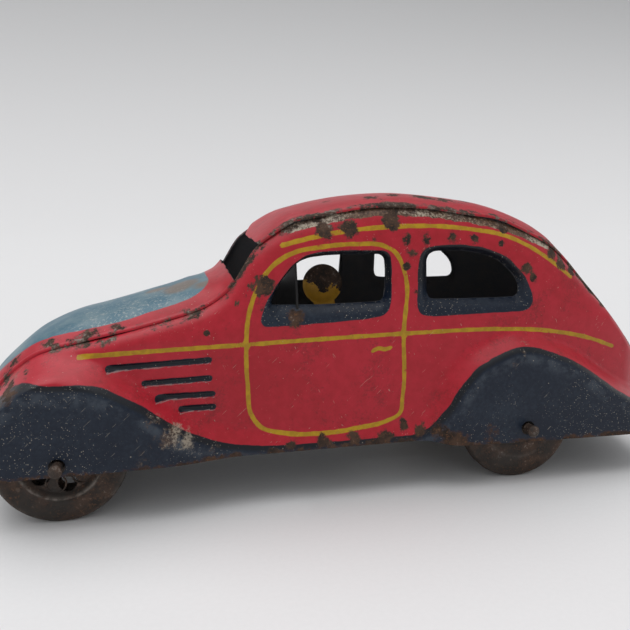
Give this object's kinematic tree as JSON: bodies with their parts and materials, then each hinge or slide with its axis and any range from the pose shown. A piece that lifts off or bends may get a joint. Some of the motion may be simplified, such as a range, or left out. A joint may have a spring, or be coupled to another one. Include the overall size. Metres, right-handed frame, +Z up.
{
  "type": "pull back car",
  "caption": "Pressed tinplate toy saloon car with a streamlined body, open windows, skirted wings, a stamped driver, rolling wheels and a pull-back spring motor.",
  "frame": {"origin": "on the ground, under the centre of the car", "axes": "+X to the nose, +Y to the car's left, +Z up"},
  "size_m": [0.18, 0.065, 0.0734],
  "materials": {
    "red_tinplate": "worn gloss enamel on tinplate, red with navy wings, yellow coach lines and rust at the edges",
    "dark_tin": "dull dark tin, unpainted inside, oxidised",
    "ochre_tin": "ochre paint half worn off to brown tin",
    "rusty_tin": "rusted brown-black pressed tin",
    "rusty_steel": "rusted steel wire, brown",
    "gear_brass": "dull stamped brass",
    "frame_steel": "dull stamped steel",
    "spring_steel": "blued spring steel"
  },
  "bodies": {
    "body": {"left_side_pressing": "red_tinplate", "right_side_pressing": "red_tinplate", "bonnet_strip": "red_tinplate", "roof_strip": "red_tinplate", "floor_plate": "dark_tin", "dash_panel": "dark_tin", "driver_figure": "ochre_tin", "barrel_arbor": "frame_steel", "motor_frame_left": "frame_steel", "motor_frame_right": "frame_steel", "frame_pillar_1": "frame_steel", "frame_pillar_2": "frame_steel", "frame_pillar_3": "frame_steel"},
    "rear_wheelset": {"rear_axle": "rusty_steel", "axle_pinion": "gear_brass", "rear_left_wheel_face": "rusty_tin", "rear_left_wheel_back": "rusty_tin", "rear_left_hub": "rusty_tin", "rear_right_wheel_face": "rusty_tin", "rear_right_wheel_back": "rusty_tin", "rear_right_hub": "rusty_tin"},
    "front_wheelset": {"front_axle": "rusty_steel", "front_left_wheel_face": "rusty_tin", "front_left_wheel_back": "rusty_tin", "front_left_hub": "rusty_tin", "front_right_wheel_face": "rusty_tin", "front_right_wheel_back": "rusty_tin", "front_right_hub": "rusty_tin"},
    "idler": {"idler_arbor": "frame_steel", "idler_gear": "gear_brass", "idler_pinion": "gear_brass"},
    "barrel": {"spring_barrel": "gear_brass", "mainspring": "spring_steel"}
  },
  "joints": [
    {"name": "rear_wheels_roll", "type": "hinge", "parent": "body", "child": "rear_wheelset", "pos_m": [-0.0435, 0, 0.015], "axis": [0, 1, 0], "continuous": true},
    {"name": "front_wheels_roll", "type": "hinge", "parent": "body", "child": "front_wheelset", "pos_m": [0.0695, 0, 0.015], "axis": [0, 1, 0], "continuous": true},
    {"name": "idler_spin", "type": "hinge", "parent": "body", "child": "idler", "pos_m": [-0.03424, 0, 0.02603], "axis": [0, 1, 0], "continuous": true},
    {"name": "barrel_wind", "type": "hinge", "parent": "body", "child": "barrel", "pos_m": [-0.01744, 0, 0.02603], "axis": [0, 1, 0], "continuous": true}
  ],
  "couplings": [
    {"joint": "idler_spin", "follows": "rear_wheels_roll", "ratio": -0.5},
    {"joint": "barrel_wind", "follows": "rear_wheels_roll", "ratio": 0.15625}
  ]
}
